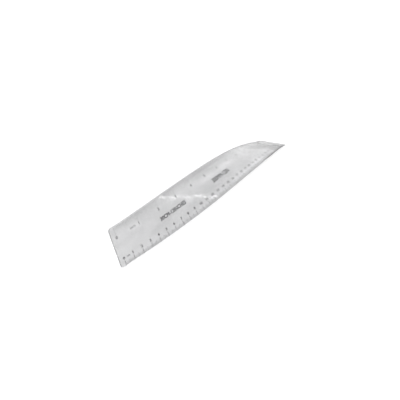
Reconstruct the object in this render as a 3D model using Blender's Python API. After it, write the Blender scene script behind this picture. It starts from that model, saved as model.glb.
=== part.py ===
"""Flexible clear plastic ruler, 30 cm and 12 in, held twisted and slightly bent.

The blade is drawn flat and then flexed. Flat, X runs along the blade from its near end,
Y runs across it from the centimetre edge to the inch edge, and Z points out of the printed face.
One moulded strip can't turn in rigid pieces, so it is cut into lengths with a hair gap between them.
The cuts are by turns twist joints, about the blade's own line, and bend joints, about a line across it.
"""
import math

import bmesh
import bpy
from mathutils import Matrix, Vector

MM = 0.001

# Blade
BLADE_LENGTH = 315 * MM
BLADE_WIDTH = 38 * MM
BLADE_THICKNESS = 1 * MM
EDGE_THICKNESS = 0.5 * MM
BEVEL_WIDTH = 1.5 * MM
CORNER_RADIUS = 3 * MM

# Flexed shape, between two flat grips
GRIP_LENGTH = 15 * MM
TWIST = math.radians(-77.5)
BEND = math.radians(24.5)

# Lengths and joints
JOINT_COUNT = 14
JOINT_GAP = 0.3 * MM
# Share of the widest free space that a cut may also take, if nearer
WIDE_SHARE = 0.95

# Printed scales, both counted from one zero line, with as many marks as the blade holds
END_MARGIN = 5 * MM
CENTIMETRE = 10 * MM
CM_PARTS = 10
INCH = 25.4 * MM
INCH_PARTS = 16
LINE_WIDTH = 0.25 * MM
INK_THICKNESS = 0.1 * MM
INK_SEAT_GAP = 0.05 * MM
CM_MARK = 3.6 * MM
HALF_CM_MARK = 2.8 * MM
MILLIMETRE_MARK = 2 * MM
INCH_MARK = 6.4 * MM
HALF_INCH_MARK = 4.8 * MM
QUARTER_INCH_MARK = 3.6 * MM
EIGHTH_INCH_MARK = 2.6 * MM
SIXTEENTH_INCH_MARK = 1.8 * MM

# Fineness of the curved faces
FACET_LENGTH = 3.5 * MM
ACROSS_FACETS = 6
CORNER_FACETS = 4
STAND_ROUNDS = 8

# Colours
PLASTIC = (0.68, 0.69, 0.7, 1)
CM_INK = (0.03, 0.03, 0.035, 1)
INCH_INK = (0.05, 0.05, 0.055, 1)

HALF_WIDTH = BLADE_WIDTH / 2
BACK = -BLADE_THICKNESS / 2
FRONT = BLADE_THICKNESS / 2
BEVEL_LINE = HALF_WIDTH - BEVEL_WIDTH
FLEX_LENGTH = BLADE_LENGTH - 2 * GRIP_LENGTH
FLEX_TURN = Vector((TWIST, BEND, 0))


def bent(along):
    """Frame of the flexed blade's middle line at a distance from the near end."""
    forward = Vector((1, 0, 0))
    curved = min(max(along - GRIP_LENGTH, 0), FLEX_LENGTH)
    straight = along - curved
    before = min(straight, GRIP_LENGTH)
    axis = FLEX_TURN.normalized()
    angle = FLEX_TURN.length * curved / FLEX_LENGTH
    radius = FLEX_LENGTH / FLEX_TURN.length
    on_axis = axis * axis.x
    off_axis = forward - on_axis
    helix = on_axis * curved
    helix += (off_axis * math.sin(angle) + axis.cross(forward) * (1 - math.cos(angle))) * radius
    turn = Matrix.Rotation(angle, 4, axis)
    place = forward * before + helix + turn @ forward * (straight - before)
    return Matrix.Translation(place) @ turn


def flexed(point):
    """Where a point of the flat blade goes when the blade is flexed."""
    return bent(point.x) @ Vector((0, point.y, point.z))


def even_lines(start, end, parts):
    """Places of the borders of equal parts."""
    return [start + (end - start) * part / parts for part in range(parts + 1)]


def corner_inset(across):
    """How far the rounded corner draws the end back at a place across the blade."""
    beyond = max(abs(across) - (HALF_WIDTH - CORNER_RADIUS), 0)
    return CORNER_RADIUS - math.sqrt(max(CORNER_RADIUS ** 2 - beyond ** 2, 0))


def corner_lines():
    """Distances across at which a rounded corner has its points, from where it starts to the edge."""
    angles = even_lines(0, math.pi / 2, CORNER_FACETS)
    return [HALF_WIDTH - CORNER_RADIUS * (1 - math.sin(angle)) for angle in angles]


def corner_foot(end, side):
    """Flexed points of one rounded corner on the blade's back."""
    foot = []
    for across in corner_lines():
        inset = corner_inset(across)
        along = inset if end == 0 else end - inset
        foot.append(flexed(Vector((along, side * across, BACK))))
    return foot


def standing():
    """Turn and shift that stand the flexed blade on three of its corners, centred over the origin."""
    feet = [corner_foot(0, -1), corner_foot(BLADE_LENGTH, -1), corner_foot(BLADE_LENGTH, 1)]
    near, low, high = (foot[0] for foot in feet)
    for _ in range(STAND_ROUNDS):
        up = (low - near).cross(high - near).normalized()
        near, low, high = (min(foot, key=up.dot) for foot in feet)
    forward = (low + high) / 2 - near
    forward = (forward - up * up.dot(forward)).normalized()
    turn = Matrix((forward, up.cross(forward), up)).to_4x4()
    steps = math.ceil(BLADE_LENGTH / FACET_LENGTH)
    outline = [turn @ point for foot in feet + [corner_foot(0, 1)] for point in foot]
    for step in range(1, steps):
        along = CORNER_RADIUS + (BLADE_LENGTH - 2 * CORNER_RADIUS) * step / steps
        for across, height in ((-HALF_WIDTH, BACK), (HALF_WIDTH, BACK)):
            outline.append(turn @ flexed(Vector((along, across, height))))
    low = [min(point[axis] for point in outline) for axis in range(3)]
    high = [max(point[axis] for point in outline) for axis in range(3)]
    shift = Vector(((low[0] + high[0]) / 2, (low[1] + high[1]) / 2, low[2]))
    return Matrix.Translation(-shift) @ turn


def marks(unit, parts, lengths):
    """Distance along and length of every mark; lengths pairs a number of parts with a mark's length."""
    total = round((BLADE_LENGTH - 2 * END_MARGIN) * parts / unit)
    found = []
    for count in range(total + 1):
        mark = next(length for step, length in lengths if count % step == 0)
        found.append((END_MARGIN + count * unit / parts, mark))
    return found


def cm_marks():
    lengths = ((CM_PARTS, CM_MARK), (CM_PARTS // 2, HALF_CM_MARK), (1, MILLIMETRE_MARK))
    return marks(CENTIMETRE, CM_PARTS, lengths)


def inch_marks():
    lengths = ((INCH_PARTS, INCH_MARK), (INCH_PARTS // 2, HALF_INCH_MARK), (INCH_PARTS // 4, QUARTER_INCH_MARK),
               (INCH_PARTS // 8, EIGHTH_INCH_MARK), (1, SIXTEENTH_INCH_MARK))
    return marks(INCH, INCH_PARTS, lengths)


def cut_places():
    """Distances of the joints, each evenly spaced and then moved to the widest free space near it."""
    places = sorted(place for place, _ in cm_marks() + inch_marks())
    spaces = [(after - before, (after + before) / 2) for before, after in zip(places, places[1:])]
    reach = CENTIMETRE / CM_PARTS
    cuts = []
    for joint in range(JOINT_COUNT):
        even = GRIP_LENGTH + FLEX_LENGTH * (joint + 0.5) / JOINT_COUNT
        near = [space for space in spaces if abs(space[1] - even) <= reach]
        widest = max((width for width, _ in near), default=0)
        wide = [middle for width, middle in near if width > widest * WIDE_SHARE]
        cuts.append(min(wide, key=lambda middle: abs(middle - even), default=even))
    return cuts


def facet_lines(start, end):
    """Places of the facet borders from start to end, with one where a grip ends."""
    stops = [start] + [stop for stop in (GRIP_LENGTH, BLADE_LENGTH - GRIP_LENGTH) if start < stop < end] + [end]
    lines = [start]
    for before, after in zip(stops, stops[1:]):
        lines += even_lines(before, after, math.ceil((after - before) / FACET_LENGTH))[1:]
    return lines


def blade_mesh(name, start, end, frame):
    """One length of the blade: a slab with bevelled long edges, seen from its own frame."""
    first, last = start == 0, end == BLADE_LENGTH
    outer = corner_lines() if first or last else [HALF_WIDTH]
    rows = sorted(even_lines(-BEVEL_LINE, BEVEL_LINE, ACROSS_FACETS) + outer + [-across for across in outer])
    inner_start = start + (CORNER_RADIUS if first else 0)
    inner_end = end - (CORNER_RADIUS if last else 0)
    columns = facet_lines(inner_start, inner_end)
    body = bmesh.new()
    bmesh.ops.create_grid(body, x_segments=len(columns) - 1, y_segments=len(rows) - 1, size=0.5)
    for vert in body.verts:
        column = round((vert.co.x + 0.5) * (len(columns) - 1))
        across = rows[round((vert.co.y + 0.5) * (len(rows) - 1))]
        along = columns[column]
        if first and column == 0:
            along = corner_inset(across)
        if last and column == len(columns) - 1:
            along = BLADE_LENGTH - corner_inset(across)
        vert.co = (along, across, BACK)
    lifted = bmesh.ops.extrude_face_region(body, geom=body.faces[:])["geom"]
    for vert in (item for item in lifted if isinstance(item, bmesh.types.BMVert)):
        share = min((HALF_WIDTH - abs(vert.co.y)) / BEVEL_WIDTH, 1)
        vert.co.z = BACK + EDGE_THICKNESS + (BLADE_THICKNESS - EDGE_THICKNESS) * share
    return flex_mesh(name, body, frame)


def flex_mesh(name, body, frame):
    """Bends a flat body with the blade and stores it as seen from its own frame."""
    back_to_frame = frame.inverted()
    for vert in body.verts:
        vert.co = back_to_frame @ flexed(vert.co)
    bmesh.ops.recalc_face_normals(body, faces=body.faces)
    mesh = bpy.data.meshes.new(name)
    body.to_mesh(mesh)
    body.free()
    return mesh


def comb_mesh(name, start, end, side, scale_marks, frame):
    """Ink of one scale on one length: a base line along the bevel with the marks as its teeth."""
    half = LINE_WIDTH / 2
    inner = BEVEL_LINE - LINE_WIDTH
    here = [mark for mark in scale_marks if start < mark[0] - half and mark[0] + half < end]
    left = max(start, scale_marks[0][0] - half)
    right = min(end, scale_marks[-1][0] + half)
    feet = [foot for place, _ in here for foot in (place - half, place + half)]
    pitch = scale_marks[1][0] - scale_marks[0][0]
    stride = 2 * max(math.floor(FACET_LENGTH / pitch), 1)
    borders = sorted({left, right, *feet[::stride]})
    body = bmesh.new()
    corners = {}

    def corner(along, across):
        if (along, across) not in corners:
            corners[along, across] = body.verts.new((along, side * across, FRONT + INK_SEAT_GAP))
        return corners[along, across]

    flat = []
    for before, after in zip(borders, borders[1:]):
        row = [before] + [foot for foot in feet if before < foot < after] + [after]
        outer = corner(before, BEVEL_LINE)
        for along, beyond in zip(row, row[1:]):
            flat.append(body.faces.new((outer, corner(along, inner), corner(beyond, inner))))
        flat.append(body.faces.new((outer, corner(after, inner), corner(after, BEVEL_LINE))))
    for place, length in here:
        tip = BEVEL_LINE - length
        flat.append(body.faces.new((corner(place - half, inner), corner(place - half, tip),
                                    corner(place + half, tip), corner(place + half, inner))))
    bmesh.ops.recalc_face_normals(body, faces=flat)
    lifted = bmesh.ops.extrude_face_region(body, geom=flat)["geom"]
    for vert in (item for item in lifted if isinstance(item, bmesh.types.BMVert)):
        vert.co.z += INK_THICKNESS
    return flex_mesh(name, body, frame)


def material(name, colour, roughness, alpha=1):
    made = bpy.data.materials.new(name)
    made.use_nodes = True
    shader = made.node_tree.nodes["Principled BSDF"]
    shader.inputs["Base Color"].default_value = colour
    shader.inputs["Roughness"].default_value = roughness
    shader.inputs["Metallic"].default_value = 0
    shader.inputs["Alpha"].default_value = alpha
    return made


def part(name, mesh, look, collection):
    mesh.materials.append(look)
    made = bpy.data.objects.new(name, mesh)
    collection.objects.link(made)
    return made


def joint_frames(cuts):
    """Frame of every length: the middle one at its own middle, each other at its joint towards it."""
    middle = len(cuts) // 2
    places = cuts[:middle] + [(cuts[middle - 1] + cuts[middle]) / 2] + cuts[middle:]
    return middle, [bent(place) for place in places]


def build():
    for thing in list(bpy.data.objects):
        bpy.data.objects.remove(thing)
    collection = bpy.data.collections.new("Flexible ruler")
    bpy.context.scene.collection.children.link(collection)
    plastic = material("clear plastic", PLASTIC, 0.15, 0.8)
    cm_ink = material("centimetre ink", CM_INK, 0.5)
    inch_ink = material("inch ink", INCH_INK, 0.5)
    cuts = cut_places()
    edges = [0] + cuts + [BLADE_LENGTH]
    middle, frames = joint_frames(cuts)
    lengths = []
    for index, frame in enumerate(frames):
        number = f"{index + 1:02d}"
        start = edges[index] + (JOINT_GAP / 2 if index else 0)
        end = edges[index + 1] - (JOINT_GAP / 2 if index < len(cuts) else 0)
        blade = part(f"blade_{number}", blade_mesh("blade", start, end, frame), plastic, collection)
        for name, side, scale_marks, ink in (("cm_scale", -1, cm_marks(), cm_ink),
                                             ("inch_scale", 1, inch_marks(), inch_ink)):
            mesh = comb_mesh(name, start, end, side, scale_marks, frame)
            part(f"{name}_{number}", mesh, ink, collection).parent = blade
        lengths.append(blade)
    lengths[middle].matrix_basis = standing() @ frames[middle]
    for index, blade in enumerate(lengths):
        if index != middle:
            inward = index + 1 if index < middle else index - 1
            blade.parent = lengths[inward]
            blade.matrix_basis = frames[inward].inverted() @ frames[index]
    bpy.context.view_layer.update()


build()
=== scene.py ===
"""Looks of the clear flexible ruler: a bevelled blade, two printed scales and two plain printed notes.

Everything is drawn flat and then flexed as the CAD is. Flat, X runs along the blade from its near
end, Y runs across it from the centimetre edge to the inch edge, and Z points out of the printed face.
"""
import math
from collections import namedtuple

import bmesh
import bpy
from mathutils import Euler, Matrix, Vector, noise as field

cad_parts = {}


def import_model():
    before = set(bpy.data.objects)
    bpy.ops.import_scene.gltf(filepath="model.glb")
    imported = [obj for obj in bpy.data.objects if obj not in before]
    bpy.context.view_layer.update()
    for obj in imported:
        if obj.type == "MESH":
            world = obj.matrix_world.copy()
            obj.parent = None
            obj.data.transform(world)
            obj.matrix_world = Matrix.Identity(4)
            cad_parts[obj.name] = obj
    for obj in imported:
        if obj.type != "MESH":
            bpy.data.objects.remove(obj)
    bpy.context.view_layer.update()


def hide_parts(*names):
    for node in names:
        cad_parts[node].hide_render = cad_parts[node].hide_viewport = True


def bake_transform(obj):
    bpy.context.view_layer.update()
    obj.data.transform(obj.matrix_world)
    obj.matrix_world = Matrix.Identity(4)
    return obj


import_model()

MM = 0.001

# Blade, as in the CAD
LENGTH = 315 * MM
WIDTH = 38 * MM
THICKNESS = 1 * MM
EDGE_THICKNESS = 0.5 * MM
BEVEL_WIDTH = 1.5 * MM
CORNER_RADIUS = 3 * MM
GRIP_LENGTH = 15 * MM
TWIST = math.radians(-77.5)
BEND = math.radians(24.5)
HALF_WIDTH = WIDTH / 2
HALF_THICKNESS = THICKNESS / 2
BEVEL_LINE = HALF_WIDTH - BEVEL_WIDTH
BEVEL_DROP = THICKNESS - EDGE_THICKNESS
CORNER_LINE = HALF_WIDTH - CORNER_RADIUS
FLEX_LENGTH = LENGTH - 2 * GRIP_LENGTH
FLEX_TURN = Vector((TWIST, BEND, 0))

# How the flexed blade stands in the CAD's frame
STAND_TURN = (77.39908, -4.12057, -9.7022)
STAND_PLACE = (-156.2504, 7.1425, 18.3877)

# Joints that bend; the others twist. The pieces of the scene meet this far before and after them
BEND_CUTS = (45.5, 86.5, 126.5, 167.5, 207.5, 248.5, 289.581)
BEND_REACH = 5

# Photograph's camera
CAMERA_PLACE = (-378.836, -217.157, 234.536)
CAMERA_TURN = (60.7868, 1.6287, -58.6587)
FOCAL_PIXELS = 457
PHOTO_PIXELS = 400
SENSOR = 36
CLIP_START, CLIP_END = 0.01, 50

# Scales
ZERO = 5 * MM
SCALE_LENGTH = LENGTH - 2 * ZERO
CENTIMETRE = 10 * MM
CM_PARTS = 10
INCH = 25.4 * MM
INCH_PARTS = 16

# Each mesh keeps the flat place of its points under this name, for the materials
FLAT_PLACE = "flat_place"


def turned(angles):
    """Turn by three angles in degrees."""
    return Euler([math.radians(angle) for angle in angles])


STANDING = Matrix.Translation(Vector(STAND_PLACE) * MM) @ turned(STAND_TURN).to_matrix().to_4x4()


def bent(along):
    """Frame of the flexed blade's middle line at a distance from the near end."""
    forward = Vector((1, 0, 0))
    curved = min(max(along - GRIP_LENGTH, 0), FLEX_LENGTH)
    straight = along - curved
    before = min(straight, GRIP_LENGTH)
    axis = FLEX_TURN.normalized()
    angle = FLEX_TURN.length * curved / FLEX_LENGTH
    radius = FLEX_LENGTH / FLEX_TURN.length
    on_axis = axis * axis.x
    off_axis = forward - on_axis
    helix = on_axis * curved
    helix += (off_axis * math.sin(angle) + axis.cross(forward) * (1 - math.cos(angle))) * radius
    turn = Matrix.Rotation(angle, 4, axis)
    place = forward * before + helix + turn @ forward * (straight - before)
    return Matrix.Translation(place) @ turn


def flexed(point):
    """Where a point of the flat blade is on the standing, flexed one."""
    return STANDING @ bent(point[0]) @ Vector((0, point[1], point[2]))


def even_lines(start, end, parts):
    """Places that divide a stretch in equal parts, with both its ends."""
    return [start + (end - start) * part / parts for part in range(parts + 1)]


def add_object(name, data):
    """New object in the scene."""
    made = bpy.data.objects.new(name, data)
    bpy.context.scene.collection.objects.link(made)
    return made


# Pieces of the scene along the blade

BORDERS = [0] + [(cut + side * BEND_REACH) * MM for cut in BEND_CUTS[:-1] for side in (-1, 1)]
BORDERS += [(BEND_CUTS[-1] - BEND_REACH) * MM, LENGTH]
PIECES = len(BORDERS) - 1


def piece_at(along):
    """Number of the scene's piece that holds a place along the blade."""
    return next((i for i in range(PIECES) if along < BORDERS[i + 1]), PIECES - 1)


def join_up(made, index, node):
    """Bakes a piece's place and lets it stand for its CAD node, the last piece for two."""
    start = max(BORDERS[index], GRIP_LENGTH)
    end = BORDERS[index + 1] if index < PIECES - 1 else (BEND_CUTS[-1] + BEND_REACH) * MM
    flexed((start, 0, 0))
    flexed((end, 0, 0))
    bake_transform(made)
    nodes = [index + 1] + ([index + 2] if index == PIECES - 1 else [])
    if node:
        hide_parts(*[f"{node}_{number:02d}" for number in nodes])


def store(name, points, faces, look, normals=None):
    """Flexed mesh object of flat points, smooth where its normals are given."""
    mesh = bpy.data.meshes.new(name)
    mesh.from_pydata([flexed(point) for point in points], [], faces)
    flat = mesh.attributes.new(FLAT_PLACE, "FLOAT_VECTOR", "POINT")
    flat.data.foreach_set("vector", [c for point in points for c in point])
    if normals:
        mesh.shade_smooth()
        mesh.normals_split_custom_set(normals)
    else:
        mesh.shade_flat()
    mesh.materials.append(look)
    mesh.update()
    return add_object(name, mesh)


# Blade

# Strips of faces across the blade, between its corners and over each of them, and the longest face
MIDDLE_STRIPS = 34
CORNER_STRIPS = 6
COLUMN = 1.2 * MM
# Eased edge: its radius, and for each of its points how far that is in from the side, up from the
# back and down from the front, as shares of the radius
EDGE_ROUND = 0.1 * MM
EDGE_POINTS = ((1 / 3, 1 / 3, 1 / 6), (0, 1, 1))
# Faint swells: height, size along and across, place in the noise, and for each layer its size, its
# share of the height and its own place
SWELL_HEIGHT = 0.06 * MM
SWELL_LONG = 16.8 * MM
SWELL_WIDE = 13.2 * MM
SWELL_SEED = 103.21
SWELL_LAYERS = ((1, 1, 0), (0.5, 0.6, 7.3), (0.25, 0.3, 3.1))
# Decimals of a metre down to which points are told apart
POINT_DIGITS = 9
# Angle between two faces from which their edge is sharp
CREASE = math.radians(9)


def top_of(across):
    """Height of the printed side at a place across: flat, then falling over the bevel."""
    share = min((HALF_WIDTH - abs(across)) / BEVEL_WIDTH, 1)
    return HALF_THICKNESS - BEVEL_DROP * (1 - share)


def section():
    """(across, back, front) rows of the blade's section, from the centimetre edge to the inch edge."""
    side = [(BEVEL_LINE, -HALF_THICKNESS, HALF_THICKNESS)]
    for across in even_lines(CORNER_LINE, HALF_WIDTH - EDGE_ROUND, CORNER_STRIPS):
        if abs(across - BEVEL_LINE) > EDGE_ROUND:
            side.append((across, -HALF_THICKNESS, top_of(across)))
    for inwards, up, down in EDGE_POINTS:
        side.append((HALF_WIDTH - inwards * EDGE_ROUND, -HALF_THICKNESS + up * EDGE_ROUND,
                     top_of(HALF_WIDTH) - down * EDGE_ROUND))
    side.sort()
    inner = even_lines(-CORNER_LINE, CORNER_LINE, MIDDLE_STRIPS)[1:-1]
    middle = [(across, -HALF_THICKNESS, HALF_THICKNESS) for across in inner]
    return [(-across, back, front) for across, back, front in reversed(side)] + middle + side


def corner_inset(across):
    """How far the blade ends short of its length at a place across, for its rounded corners."""
    beyond = max(abs(across) - CORNER_LINE, 0)
    return CORNER_RADIUS - math.sqrt(max(CORNER_RADIUS ** 2 - beyond ** 2, 0))


def swell(along, across):
    """Height of the faint swells that moulding and handling leave in both faces, none at any edge."""
    total = 0
    for size, share, layer in SWELL_LAYERS:
        place = Vector((along / (SWELL_LONG * size), across / (SWELL_WIDE * size), SWELL_SEED + layer))
        total += share * field.noise(place)
    height = SWELL_HEIGHT * total * min(along, LENGTH - along, GRIP_LENGTH) / GRIP_LENGTH
    return height * (1 - max(abs(across) - BEVEL_LINE, 0) / BEVEL_WIDTH)


def blade_columns():
    """Places along the blade of its rows of points, before the corners round off both ends."""
    columns = [0]
    for start, end in zip(BORDERS, BORDERS[1:]):
        start = max(start, CORNER_RADIUS)
        end = min(end, LENGTH - CORNER_RADIUS)
        columns += even_lines(start, end, math.ceil((end - start) / COLUMN))[:-1]
    return columns + [LENGTH - CORNER_RADIUS, LENGTH]


def joined(points, faces):
    """Faces that share one point where two coincide, without those that this leaves flat."""
    first = {}
    same = []
    for i, point in enumerate(points):
        same.append(first.setdefault(tuple(round(c, POINT_DIGITS) for c in point), i))
    rings = [tuple(dict.fromkeys(same[i] for i in face)) for face in faces]
    return [ring for ring in rings if len(ring) > 2]


def blade_mesh():
    """Points and faces of the whole flat blade."""
    rows = section()
    columns = blade_columns()
    points = []
    for column in columns:
        for printed in (False, True):
            for across, back, front in rows:
                inset = corner_inset(across)
                along = min(max(column, inset), LENGTH - inset)
                points.append((along, across, (front if printed else back) + swell(along, across)))
    faces = []
    wide, last = len(rows), len(rows) - 1
    ring = 2 * wide
    far = (len(columns) - 1) * ring
    for here in range(0, far, ring):
        there = here + ring
        for back in range(last):
            front = wide + back
            faces.append((here + back, here + back + 1, there + back + 1, there + back))
            faces.append((here + front, there + front, there + front + 1, here + front + 1))
        faces.append((here, there, there + wide, here + wide))
        faces.append((here + last, here + wide + last, there + wide + last, there + last))
    for back in range(last):
        front = wide + back
        faces.append((back, front, front + 1, back + 1))
        faces.append((far + back, far + back + 1, far + front + 1, far + front))
    return points, joined(points, faces)


def blade(look):
    """The blade as pieces that meet edge to edge, with the normals of the whole one."""
    points, faces = blade_mesh()
    whole = bpy.data.meshes.new("whole blade")
    whole.from_pydata([flexed(point) for point in points], [], faces)
    whole.shade_smooth()
    whole.set_sharp_from_angle(angle=CREASE)
    whole.update()
    corner_normals = [normal.vector.copy() for normal in whole.corner_normals]
    groups = [[] for _ in range(PIECES)]
    for face in whole.polygons:
        middle = sum(points[v][0] for v in face.vertices) / len(face.vertices)
        groups[piece_at(middle)].append(face)
    for index, group in enumerate(groups):
        used = sorted({v for face in group for v in face.vertices})
        number = {v: i for i, v in enumerate(used)}
        normals = [corner_normals[loop] for face in group for loop in face.loop_indices]
        made = store(f"clear_blade_{index + 1:02d}", [points[v] for v in used],
                     [tuple(number[v] for v in face.vertices) for face in group], look, normals)
        join_up(made, index, "blade")
    bpy.data.meshes.remove(whole)


# Print

# How far the ink stands above the blade and reaches into it
INK_HEIGHT = 0.03 * MM
INK_ROOT = 0.02 * MM
# Marks: where they begin; for each kind every how many parts it stands, its length and its width in
# millimetres; and the width of the base line
MARK_START = HALF_WIDTH - 0.4 * MM
CM_MARKS = ((CM_PARTS, 3.6, 0.44), (CM_PARTS // 2, 2.8, 0.27), (1, 2, 0.13))
INCH_MARKS = ((INCH_PARTS, 6.4, 0.13), (INCH_PARTS // 2, 4.8, 0.12), (INCH_PARTS // 4, 3.6, 0.11),
              (INCH_PARTS // 8, 2.6, 0.11), (1, 1.8, 0.11))
BASE_WIDTH = 0.12 * MM
# Lettering: size of the type, how far it grows outwards as a share of that, and how much wider it gets
Lettering = namedtuple("Lettering", "size growth stretch")
CM_NUMERALS = Lettering(3.4 * MM, 0.027, 1.35)
INCH_NUMERALS = Lettering(3.6 * MM, 0.02, 1.2)
CM_NAME = Lettering(2.6 * MM, 0.015, 1)
INCH_NAME = Lettering(2.4 * MM, 0.005, 1)
LONG_NOTE = Lettering(5.1 * MM, 0.026, 0.98)
SHORT_NOTE = Lettering(6.6 * MM, 0.018, 0.96)
# Middles of the lettering: lines across the blade, then places along it
CM_NUMERAL_LINE = -11.3 * MM
INCH_NUMERAL_LINE = 8.6 * MM
NOTE_LINE = -0.8 * MM
CM_NAME_PLACE = ZERO + 0.5 * CENTIMETRE
INCH_NAME_PLACE = 23 * MM
LONG_NOTE_PLACE = 71 * MM
SHORT_NOTE_PLACE = 154.1 * MM
# Letters: steps of their curves, distance up to which points are joined, how much a wall's normal may
# rise, and the limit that keeps sharp corners from growing into spikes
LETTER_STEPS = 3
LETTER_WELD = 0.1 * INK_ROOT
WALL_RISE = 0.5
SHARPEST = 0.7


def embolden(body, growth):
    """Moves the walls of flat letters outwards, less than fully at sharp corners."""
    body.normal_update()
    moves = []
    for vert in body.verts:
        walls = [face.normal for face in vert.link_faces if abs(face.normal.z) < WALL_RISE]
        out = sum(walls, Vector()).normalized()
        moves.append(out * growth / max(min(wall.dot(out) for wall in walls), SHARPEST))
    for vert, move in zip(body.verts, moves):
        vert.co += move


def lettering(words, style):
    """Flat closed letters in one mesh, centred on the origin."""
    curve = bpy.data.curves.new("words", "FONT")
    curve.body = words
    curve.size = style.size
    curve.align_x, curve.align_y = "CENTER", "CENTER"
    curve.resolution_u = LETTER_STEPS
    curve.extrude = (INK_HEIGHT + INK_ROOT) / 2
    source = add_object("words", curve)
    bpy.context.view_layer.update()
    mesh = bpy.data.meshes.new_from_object(source.evaluated_get(bpy.context.evaluated_depsgraph_get()))
    bpy.data.objects.remove(source)
    bpy.data.curves.remove(curve)
    body = bmesh.new()
    body.from_mesh(mesh)
    bpy.data.meshes.remove(mesh)
    bmesh.ops.remove_doubles(body, verts=body.verts, dist=LETTER_WELD)
    embolden(body, style.growth * style.size)
    return body


def separate(body):
    """Points of a mesh, in one list for each part of it that hangs together."""
    parts = []
    left = dict.fromkeys(body.verts)
    while left:
        part, reach = [], [left.popitem()[0]]
        while reach:
            vert = reach.pop()
            part.append(vert)
            for edge in vert.link_edges:
                other = edge.other_vert(vert)
                if other in left:
                    del left[other]
                    reach.append(other)
        parts.append(part)
    return parts


class Print:
    """Flat closed solids of ink, each kept with the place along the blade by which it joins a piece."""

    def __init__(self):
        self.parts = []

    def strip(self, pairs, along):
        """Closed strip between two rows of (along, across) points on the printed side."""
        points = []
        for pair in pairs:
            for x, y in pair:
                top = top_of(y) + swell(x, y)
                points += [(x, y, top - INK_ROOT), (x, y, top + INK_HEIGHT)]
        faces = []
        end = 4 * (len(pairs) - 1)
        for a in range(0, end, 4):
            b = a + 4
            faces += [(a + 1, b + 1, b + 3, a + 3), (a, a + 2, b + 2, b)]
            faces += [(a, b, b + 1, a + 1), (a + 2, a + 3, b + 3, b + 2)]
        faces += [(0, 1, 3, 2), (end, end + 2, end + 3, end + 1)]
        self.parts.append((along, points, faces))

    def mark(self, along, side, length, width):
        """One mark, from near the blade's edge over the bevel line and inwards."""
        rows = [MARK_START] + even_lines(BEVEL_LINE, BEVEL_LINE - length, math.ceil(length / COLUMN))
        left, right = along - width / 2, along + width / 2
        self.strip([((left, side * row), (right, side * row)) for row in rows], along)

    def text(self, words, style, along, across):
        """Plain lettering, centred, whose separate letters join the piece that they lie on."""
        body = lettering(words, style)
        lift = HALF_THICKNESS + (INK_HEIGHT - INK_ROOT) / 2
        for letter in separate(body):
            number = {vert: i for i, vert in enumerate(letter)}
            points = []
            for vert in letter:
                x, y = along + vert.co.x * style.stretch, across + vert.co.y
                points.append((x, y, lift + vert.co.z + swell(x, y)))
            letter_faces = {face for vert in letter for face in vert.link_faces}
            faces = sorted(tuple(number[vert] for vert in face.verts) for face in letter_faces)
            self.parts.append((sum(point[0] for point in points) / len(points), points, faces))
        body.free()

    def place(self, name, node, slot, look):
        """Joins the solids of each stretch of the blade in one object."""
        for index in range(PIECES):
            points, faces = [], []
            for along, some, corners in self.parts:
                if piece_at(along) == index:
                    faces += [tuple(len(points) + c for c in face) for face in corners]
                    points += some
            if points:
                made = store(f"{name}_{index + 1:02d}", points, faces, look)
                join_up(made, index, node)


def scale(ink, side, unit, parts, marks, line, numerals):
    """Every mark of one scale, its base line on the bevel line, and a numeral at each whole unit."""
    total = round(SCALE_LENGTH * parts / unit)
    for count in range(total + 1):
        length, width = next((length, width) for step, length, width in marks if count % step == 0)
        ink.mark(ZERO + count * unit / parts, side, length * MM, width * MM)
    start, end = ZERO, ZERO + total * unit / parts
    stretches = sorted({start, end, *[border for border in BORDERS if start < border < end]})
    for left, right in zip(stretches, stretches[1:]):
        row = even_lines(left, right, math.ceil((right - left) / COLUMN))
        pairs = [((x, side * (BEVEL_LINE - BASE_WIDTH)), (x, side * BEVEL_LINE)) for x in row]
        ink.strip(pairs, (left + right) / 2)
    for count in range(int(SCALE_LENGTH / unit) + 1):
        ink.text(str(count), numerals, ZERO + count * unit, line)


def printing(cm_look, inch_look, note_look):
    """Both scales with their names, and two plain notes where the real ruler has words."""
    cm, inch, note = Print(), Print(), Print()
    scale(cm, -1, CENTIMETRE, CM_PARTS, CM_MARKS, CM_NUMERAL_LINE, CM_NUMERALS)
    scale(inch, 1, INCH, INCH_PARTS, INCH_MARKS, INCH_NUMERAL_LINE, INCH_NUMERALS)
    cm.text("cm", CM_NAME, CM_NAME_PLACE, CM_NUMERAL_LINE)
    inch.text("INCH", INCH_NAME, INCH_NAME_PLACE, INCH_NUMERAL_LINE)
    note.text("30CM-12INCHES", LONG_NOTE, LONG_NOTE_PLACE, NOTE_LINE)
    note.text("300MM-12IN", SHORT_NOTE, SHORT_NOTE_PLACE, NOTE_LINE)
    cm.place("cm_print", "cm_scale", "cm_ink", cm_look)
    inch.place("inch_print", "inch_scale", "inch_ink", inch_look)
    note.place("note_print", None, "cm_ink", note_look)


# Materials

# Noise: scale, detail, how much finer it is along each axis, and the height at which it is taken
Noise = namedtuple("Noise", "scale detail stretch height", defaults=((1, 1, 1), 0))


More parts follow.
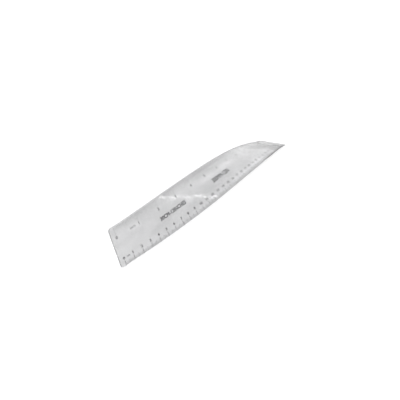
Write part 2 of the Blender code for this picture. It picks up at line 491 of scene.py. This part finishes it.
class Tree:
    """Nodes of a material or of the world. A value is a number, a vector, a colour or an output."""

    def __init__(self, owner):
        owner.use_nodes = True
        self.nodes, self.links = owner.node_tree.nodes, owner.node_tree.links

    def give(self, socket, value):
        """Sets one input to a value."""
        if isinstance(value, bpy.types.NodeSocket):
            self.links.new(value, socket)
        else:
            socket.default_value = value

    def fill(self, node, inputs):
        """Sets the inputs of a node by their names or numbers."""
        for name, value in inputs.items():
            self.give(node.inputs[name], value)

    def add(self, kind, inputs, **settings):
        """New node with its settings and inputs."""
        node = self.nodes.new("ShaderNode" + kind)
        for name, setting in settings.items():
            setattr(node, name, setting)
        self.fill(node, inputs)
        return node

    def math(self, operation, *values):
        """Number that an operation makes of one or two values."""
        return self.add("Math", dict(enumerate(values)), operation=operation).outputs[0]

    def eased(self, value, low, high, first=0, last=1):
        """Number that goes smoothly from first to last as a value goes from low to high."""
        inputs = {"Value": value, "From Min": low, "From Max": high, "To Min": first, "To Max": last}
        return self.add("MapRange", inputs, interpolation_type="SMOOTHSTEP").outputs[0]

    def ramp(self, value, low, high, first, second):
        """Colour that goes from first to second as a value goes from low to high."""
        mix = self.add("Mix", {"Factor": self.eased(value, low, high)}, data_type="RGBA")
        sockets = [socket for socket in mix.inputs if socket.type == "RGBA"]
        for socket, colour in zip(sockets, (first, second)):
            self.give(socket, colour)
        return next(socket for socket in mix.outputs if socket.type == "RGBA")

    def noise(self, place, pattern):
        """Level of a noise at a place."""
        shift = (0, 0, pattern.height)
        moved = self.add("Mapping", {"Vector": place, "Location": shift, "Scale": pattern.stretch})
        inputs = {"Vector": moved.outputs[0], "Scale": pattern.scale, "Detail": pattern.detail}
        return self.add("TexNoise", inputs).outputs["Fac"]

    def bump(self, height, strength, distance):
        """Normal of a surface that a height makes uneven."""
        inputs = {"Height": height, "Strength": strength, "Distance": distance}
        return self.add("Bump", inputs).outputs[0]

    def flat_place(self):
        """Place on the flat blade, then its parts along and across."""
        place = self.add("Attribute", {}, attribute_name=FLAT_PLACE).outputs["Vector"]
        split = self.add("SeparateXYZ", {0: place})
        return place, split.outputs["X"], split.outputs["Y"]


def new_material(name):
    """New material with its nodes and its shader."""
    made = bpy.data.materials.new(name)
    tree = Tree(made)
    return made, tree, tree.nodes["Principled BSDF"]


# Painted shade and light across the blade, from the centimetre edge to the inch edge: place, share of
# the body's colour.
# It lightens both edges and darkens a band in from the inch edge
SHADE_ACROSS = ((-19, 1.6), (-18.4, 1.45), (-17.8, 1.16), (-17.2, 1.09), (-16, 1.1), (-10, 1.05), (-5, 1.01),
        (9, 1), (12.5, 0.94), (16, 0.9), (17.3, 0.92), (18.3, 1.05), (19, 1.16))
# Painted bands of sheen and shade on the plastic: where each begins, is full, still is full and ends
# along the blade, its middle line across the blade, how far it fades out from there, and its share of
# the colour, above 1 painted sheen, below 1 painted shade
PAINTED_BANDS = (((98, 145, 165, 215), 15.6, 3, 0.86), ((110, 145, 180, 200), 11, 5, 0.93),
           ((95, 130, 175, 205), 5.2, 5, 1.1), ((140, 175, 215, 280), -13, 5, 1.16),
           ((60, 100, 200, 245), -18.5, 1.4, 0.87), ((212, 240, 262, 300), -7, 9, 1.1),
           ((215, 240, 258, 290), 12, 6, 1.08), ((210, 245, 300, 330), -18.5, 1.6, 1.14),
           ((-40, -20, 20, 45), 0, 60, 1.08))
BODY = (0.614, 0.614, 0.621)
# Faint clouds in the body's colour: noise, levels where they begin and are full, shares of the colour
CLOUDS = Noise(38, 3, (1, 2.4, 1))
CLOUD_LEVELS = (0.35, 0.7)
CLOUD_SHARES = (0.96, 1.04)
# Painted shade on the cut of both ends, and how far from an end its colour begins to change and is the
# body's
PAINTED_END_SHADE = (0.52, 0.525, 0.53, 1)
END_REACH = (0.1 * MM, 0.9 * MM)
# Scuffs that vary the gloss: noise, levels, roughness
SCUFFS = Noise(130, 3, (1, 1.6, 1), 0.07)
SCUFF_LEVELS = (0.42, 0.6)
SCUFF_ROUGHNESS = (0.02, 0.12)
# Handling dulls the ends: how far from an end that begins and is full, and how much roughness it adds
WORN_START, WORN_FULL, WORN_ROUGHNESS = 50 * MM, 30 * MM, 0.14
# Uneven surface: its two noises, the share of the second, and the bump's strength and depth
GRAIN = Noise(260, 2, (1, 0.5, 1))
SCRATCHES = Noise(900, 2, (0.04, 1, 1))
SCRATCH_SHARE = 0.12
BLADE_BUMP = (0.35, 0.02 * MM)
TRANSMISSION = 0.9
REFRACTION = 1.49

# Spots in the ink: noise, levels; then its roughness, and its bump's strength and depth
SPOTS = Noise(900, 3)
SPOT_LEVELS = (0.35, 0.65)
INK_ROUGHNESS = 0.5
INK_BUMP = (0.3, 0.01 * MM)
# Inks: darkest and lightest colour near the near end, and the paler colour under a painted sheen past
# its end; where that painted sheen begins and is full
SHEEN_START, SHEEN_END = 100 * MM, 205 * MM
CM_INK = ((0.1, 0.1, 0.105, 1), (0.16, 0.16, 0.165, 1), (0.3, 0.3, 0.305, 1))
INCH_INK = ((0.14, 0.14, 0.145, 1), (0.2, 0.2, 0.205, 1), (0.3, 0.3, 0.305, 1))
NOTE_INK = ((0.012, 0.012, 0.014, 1), (0.03, 0.03, 0.034, 1), (0.12, 0.12, 0.125, 1))


def tint(tree, across):
    """Colour of the plastic with painted shade and light by its place across the blade."""
    inputs = {"Value": across, "From Min": -HALF_WIDTH, "From Max": HALF_WIDTH}
    band = tree.add("ValToRGB", {"Fac": tree.add("MapRange", inputs).outputs[0]})
    stops = band.color_ramp.elements
    # The ramp's own two stops are the blade's edges, where the table begins and ends
    for place, _ in SHADE_ACROSS[1:-1]:
        stops.new((place * MM + HALF_WIDTH) / WIDTH)
    for stop, (_, share) in zip(stops, SHADE_ACROSS):
        stop.color = [min(channel * share, 1) for channel in BODY] + [1]
    return band.outputs["Color"]


def streak(tree, along, across, places, line, reach, share):
    """Factor of one painted band at a place on the blade, 1 away from it; above 1 it is painted sheen,
    below 1 painted shade.
    """
    begin, full, still, end = (place * MM for place in places)
    rise = tree.eased(along, begin, full)
    fall = tree.eased(along, end, still)
    away = tree.math("ABSOLUTE", tree.math("SUBTRACT", across, line * MM))
    beside = tree.eased(away, reach * MM, 0)
    weight = tree.math("MULTIPLY", tree.math("MULTIPLY", rise, fall), beside)
    return tree.math("ADD", tree.math("MULTIPLY", weight, share - 1), 1)


def clear_plastic():
    """Clear gloss plastic with a light grey tint, painted shade and painted sheen across and along it,
    painted shade on both cut ends, and duller near them.
    """
    made, tree, shader = new_material("clear plastic")
    place, along, across = tree.flat_place()
    from_middle = tree.math("ABSOLUTE", tree.math("SUBTRACT", along, LENGTH / 2))
    to_end = tree.math("SUBTRACT", LENGTH / 2, from_middle)
    share = tree.eased(tree.noise(place, CLOUDS), *CLOUD_LEVELS, *CLOUD_SHARES)
    # Painted bands of sheen and shade scale the colour
    for band_row in PAINTED_BANDS:
        share = tree.math("MULTIPLY", share, streak(tree, along, across, *band_row))
    # The body's colour, with painted shade and light across the blade and in bands
    body = tree.add("VectorMath", {0: tint(tree, across), "Scale": share}, operation="SCALE")
    scuffed = tree.eased(tree.noise(place, SCUFFS), *SCUFF_LEVELS, *SCUFF_ROUGHNESS)
    worn = tree.eased(to_end, WORN_START, WORN_FULL, 0, WORN_ROUGHNESS)
    scratched = tree.math("MULTIPLY", tree.noise(place, SCRATCHES), SCRATCH_SHARE)
    height = tree.math("ADD", tree.noise(place, GRAIN), scratched)
    tree.fill(shader, {
        # Painted shade on the cut ends, over the body's colour
        "Base Color": tree.ramp(to_end, *END_REACH, PAINTED_END_SHADE, body.outputs[0]),
        "Roughness": tree.math("ADD", scuffed, worn),
        "Normal": tree.bump(height, *BLADE_BUMP),
        "Transmission Weight": TRANSMISSION,
        "IOR": REFRACTION,
    })
    return made


def printed_ink(name, dark, light, far):
    """Printed ink with small uneven spots, paler towards the far end under a painted sheen."""
    made, tree, shader = new_material(name)
    place, along, _ = tree.flat_place()
    spots = tree.noise(place, SPOTS)
    near = tree.ramp(spots, *SPOT_LEVELS, dark, light)
    tree.fill(shader, {
        # Paler ink towards the far end is painted sheen
        "Base Color": tree.ramp(along, SHEEN_START, SHEEN_END, near, far),
        "Roughness": INK_ROUGHNESS,
        "Normal": tree.bump(spots, *INK_BUMP),
    })
    return made


# Stage

WHITE = (1, 1, 1, 1)
FLOOR_SIZE = 12
FLOOR_COLOUR = (0.7, 0.7, 0.7, 1)
FLOOR_ROUGHNESS = 0.9
FLOOR_LIFT = 0.62
WORLD_LEVEL = 0.75
# Lamps: name, both ends of the long middle line, width, what it faces, radiance
SOFTBOXES = (
    ("top softbox", (-0.5, -0.6, 1.5), (0.9, -0.6, 1.5), 1.0, (0, 0, 0), 0.6),
    ("strip softbox", (0.47, -0.684, 0.155), (0.55, -0.532, 0.484), 0.024, (-0.06, -0.01, 0.02), 4),
    ("side softbox", (1.1, -0.05, 0.3), (1.05, 0.25, 0.85), 0.7, (0.1, 0, 0.02), 0.45),
)


def seen_directly(tree):
    """1 for what the camera sees, also in a mirror image or through clear plastic."""
    path = tree.add("LightPath", {}).outputs
    both = tree.math("MAXIMUM", path["Is Glossy Ray"], path["Is Transmission Ray"])
    return tree.math("MAXIMUM", path["Is Camera Ray"], both)


def floor():
    """Pale floor that keeps the shadow of the blade and otherwise shows white."""
    mesh = bpy.data.meshes.new("floor")
    half = FLOOR_SIZE / 2
    corners = [(-half, -half, 0), (half, -half, 0), (half, half, 0), (-half, half, 0)]
    mesh.from_pydata(corners, [], [(0, 1, 2, 3)])
    look, tree, shader = new_material("floor paper")
    tree.fill(shader, {
        "Base Color": FLOOR_COLOUR,
        "Roughness": FLOOR_ROUGHNESS,
        "Specular IOR Level": 0,
        "Emission Color": WHITE,
        "Emission Strength": tree.math("MULTIPLY", seen_directly(tree), FLOOR_LIFT),
    })
    mesh.materials.append(look)
    made = add_object("floor", mesh)


def world():
    """White surroundings, which light the blade a little less than they show."""
    made = bpy.data.worlds.new("studio")
    tree = Tree(made)
    extra = tree.math("MULTIPLY", seen_directly(tree), 1 - WORLD_LEVEL)
    strength = tree.math("ADD", extra, WORLD_LEVEL)
    tree.fill(tree.nodes["Background"], {"Color": WHITE, "Strength": strength})
    bpy.context.scene.world = made


def softbox(name, low, high, width, target, radiance):
    """Rectangular lamp of a width, whose long middle line runs from low to high; it faces its target."""
    low, high = Vector(low), Vector(high)
    upright = (high - low).normalized()
    back = (low + high) / 2 - Vector(target)
    back = (back - upright * back.dot(upright)).normalized()
    turn = Matrix((upright.cross(back), upright, back)).transposed().to_4x4()
    data = bpy.data.lights.new(name, "AREA")
    data.shape = "RECTANGLE"
    data.size, data.size_y = width, (high - low).length
    data.energy = radiance * math.pi * data.size * data.size_y
    add_object(name, data).matrix_world = Matrix.Translation((low + high) / 2) @ turn


def camera():
    """The photograph's camera."""
    data = bpy.data.cameras.new("camera")
    data.sensor_width = SENSOR
    data.lens = FOCAL_PIXELS / PHOTO_PIXELS * SENSOR
    data.clip_start, data.clip_end = CLIP_START, CLIP_END
    made = add_object("camera", data)
    made.location = Vector(CAMERA_PLACE) * MM
    made.rotation_euler = turned(CAMERA_TURN)
    bpy.context.scene.camera = made


bpy.context.scene.view_settings.view_transform = "Standard"
camera()
world()
floor()
for lamp in SOFTBOXES:
    softbox(*lamp)
blade(clear_plastic())
printing(printed_ink("centimetre ink", *CM_INK), printed_ink("inch ink", *INCH_INK),
         printed_ink("note ink", *NOTE_INK))
